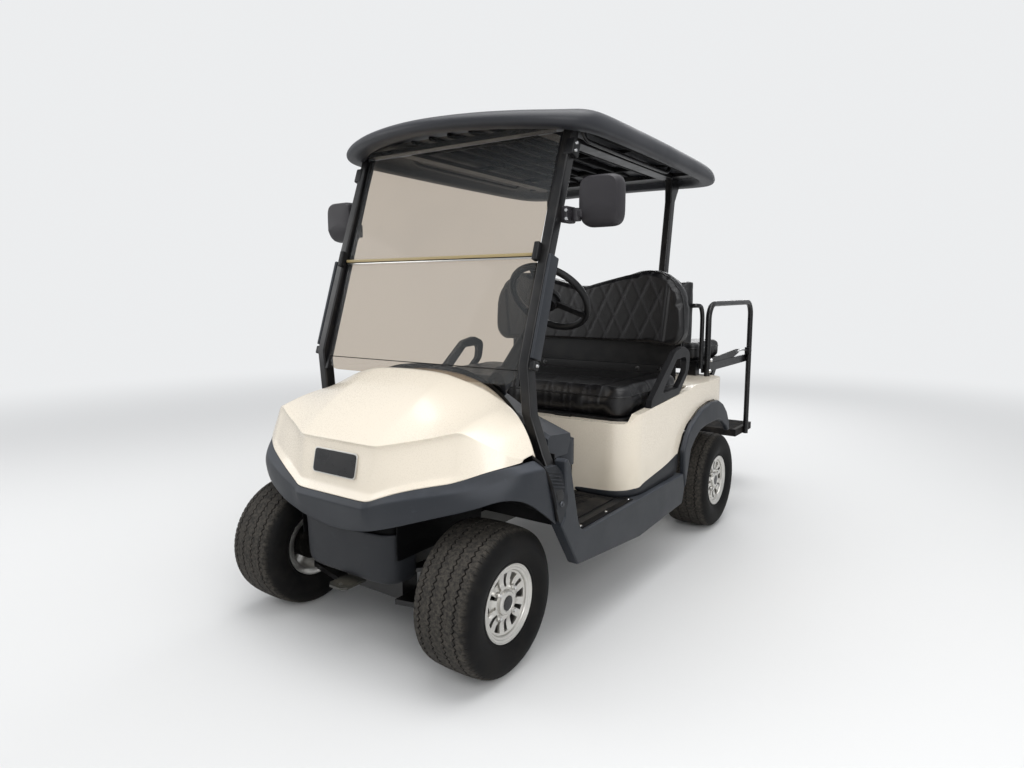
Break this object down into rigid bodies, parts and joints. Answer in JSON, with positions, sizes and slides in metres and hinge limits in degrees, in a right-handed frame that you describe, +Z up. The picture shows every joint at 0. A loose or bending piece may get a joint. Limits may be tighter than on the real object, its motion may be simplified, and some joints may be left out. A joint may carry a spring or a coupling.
{
  "type": "golf cart",
  "caption": "Four-seat golf cart with canopy, folding windshield and rear-facing seat kit: wheels roll, rack steering turns, front seat tilts and rear seat flips.",
  "frame": {"origin": "on the floor below the middle of the cart's length and width", "axes": "+Z up, the front faces -Y, +X is the cart's left"},
  "size_m": [1.346, 2.758, 1.7481],
  "materials": {
    "body_cream": "moulded gloss plastic, pale cream",
    "trim_grey": "moulded matte plastic, slate grey, worn lighter on top",
    "roof_charcoal": "moulded matte plastic, charcoal",
    "black_plastic": "matte black plastic",
    "black_steel": "black powder coat",
    "frame_metal": "dull dusty aluminium",
    "cast_grey": "dull cast iron, dusty",
    "vinyl_black": "black vinyl with diamond stitching",
    "glass_bronze": "bronze tinted acrylic",
    "alloy_silver": "bright machined alloy",
    "tyre_black": "worn black rubber",
    "rubber_black": "ribbed black rubber",
    "battery_grey": "dark grey battery case"
  },
  "bodies": {
    "chassis": {"frame_rails": "frame_metal", "front_suspension": "black_steel", "rack_housing": "cast_grey", "rear_axle": "cast_grey", "rear_springs": "black_steel", "battery_pack": "battery_grey", "front_cowl": "body_cream", "front_fender": "trim_grey", "front_valance": "black_plastic", "dash": "trim_grey", "floor_pan": "black_plastic", "floor_mat": "rubber_black", "sills": "trim_grey", "rear_body": "body_cream", "rear_fenders": "trim_grey", "front_struts": "black_steel", "rear_struts": "black_steel", "roof": "roof_charcoal", "roof_frame": "black_steel", "windshield_frame": "black_plastic", "windshield_lower": "glass_bronze", "windshield_upper": "glass_bronze", "mirrors": "black_plastic", "steering_column": "black_plastic", "pedals": "black_steel", "front_backrest": "vinyl_black", "back_support": "black_steel", "hip_rests": "black_plastic", "rear_seat_frame": "black_steel", "rear_backrest": "vinyl_black", "grab_loops": "black_steel", "foot_rest": "black_steel", "seat_hinges": "black_steel"},
    "rack": {"steering_rack": "rubber_black"},
    "steering_wheel": {"steering_wheel": "black_plastic"},
    "front_seat": {"front_seat": "vinyl_black", "seat_base": "black_plastic"},
    "rear_seat": {"rear_cushion": "vinyl_black", "rear_deck": "black_steel"},
    "knuckle_left": {"knuckle_left": "cast_grey"},
    "tie_rod_left": {"tie_rod_left": "black_steel"},
    "front_left_wheel": {"wheel_front_left": "alloy_silver", "tyre_front_left": "tyre_black"},
    "rear_left_wheel": {"wheel_rear_left": "alloy_silver", "tyre_rear_left": "tyre_black"},
    "knuckle_right": {"knuckle_right": "cast_grey"},
    "tie_rod_right": {"tie_rod_right": "black_steel"},
    "front_right_wheel": {"wheel_front_right": "alloy_silver", "tyre_front_right": "tyre_black"},
    "rear_right_wheel": {"wheel_rear_right": "alloy_silver", "tyre_rear_right": "tyre_black"}
  },
  "joints": [
    {"name": "steer_left", "type": "hinge", "parent": "chassis", "child": "knuckle_left", "pos_m": [0.33, -1.152, 0.226], "axis": [0, 0, 1], "range_deg": [-27, 27]},
    {"name": "spin_front_left", "type": "hinge", "parent": "knuckle_left", "child": "front_left_wheel", "pos_m": [0.438, -1.152, 0.228], "axis": [1, 0, 0], "continuous": true},
    {"name": "spin_rear_left", "type": "hinge", "parent": "chassis", "child": "rear_left_wheel", "pos_m": [0.489, 0.513, 0.228], "axis": [1, 0, 0], "continuous": true},
    {"name": "tie_rod_pivot_left", "type": "hinge", "parent": "knuckle_left", "child": "tie_rod_left", "pos_m": [0.318, -1.042, 0.208], "axis": [0, 0, 1], "range_deg": [-27, 27]},
    {"name": "steer_right", "type": "hinge", "parent": "chassis", "child": "knuckle_right", "pos_m": [-0.33, -1.152, 0.226], "axis": [0, 0, 1], "range_deg": [-27, 27]},
    {"name": "spin_front_right", "type": "hinge", "parent": "knuckle_right", "child": "front_right_wheel", "pos_m": [-0.438, -1.152, 0.228], "axis": [1, 0, 0], "continuous": true},
    {"name": "spin_rear_right", "type": "hinge", "parent": "chassis", "child": "rear_right_wheel", "pos_m": [-0.489, 0.513, 0.228], "axis": [1, 0, 0], "continuous": true},
    {"name": "tie_rod_pivot_right", "type": "hinge", "parent": "knuckle_right", "child": "tie_rod_right", "pos_m": [-0.318, -1.042, 0.208], "axis": [0, 0, 1], "range_deg": [-27, 27]},
    {"name": "rack_slide", "type": "slide", "parent": "chassis", "child": "rack", "axis": [1, 0, 0], "range_m": [-0.053, 0.053]},
    {"name": "steering_wheel_turn", "type": "hinge", "parent": "chassis", "child": "steering_wheel", "pos_m": [0.285, -0.552, 1.12], "axis": [0, 0.7431, 0.6691], "range_deg": [-540, 540]},
    {"name": "front_seat_tilt", "type": "hinge", "parent": "chassis", "child": "front_seat", "pos_m": [0, -0.41, 0.6573], "axis": [1, 0, 0], "range_deg": [0, 60]},
    {"name": "rear_seat_flip", "type": "hinge", "parent": "chassis", "child": "rear_seat", "pos_m": [0, 0.918, 0.797], "axis": [-1, 0, 0], "range_deg": [0, 180]}
  ],
  "couplings": [
    {"joint": "steer_right", "follows": "steer_left", "ratio": 1},
    {"joint": "tie_rod_pivot_left", "follows": "steer_left", "ratio": -1},
    {"joint": "tie_rod_pivot_right", "follows": "steer_left", "ratio": -1},
    {"joint": "rack_slide", "follows": "steer_left", "m_per_rad": -0.11},
    {"joint": "steering_wheel_turn", "follows": "steer_left", "ratio": 20}
  ]
}
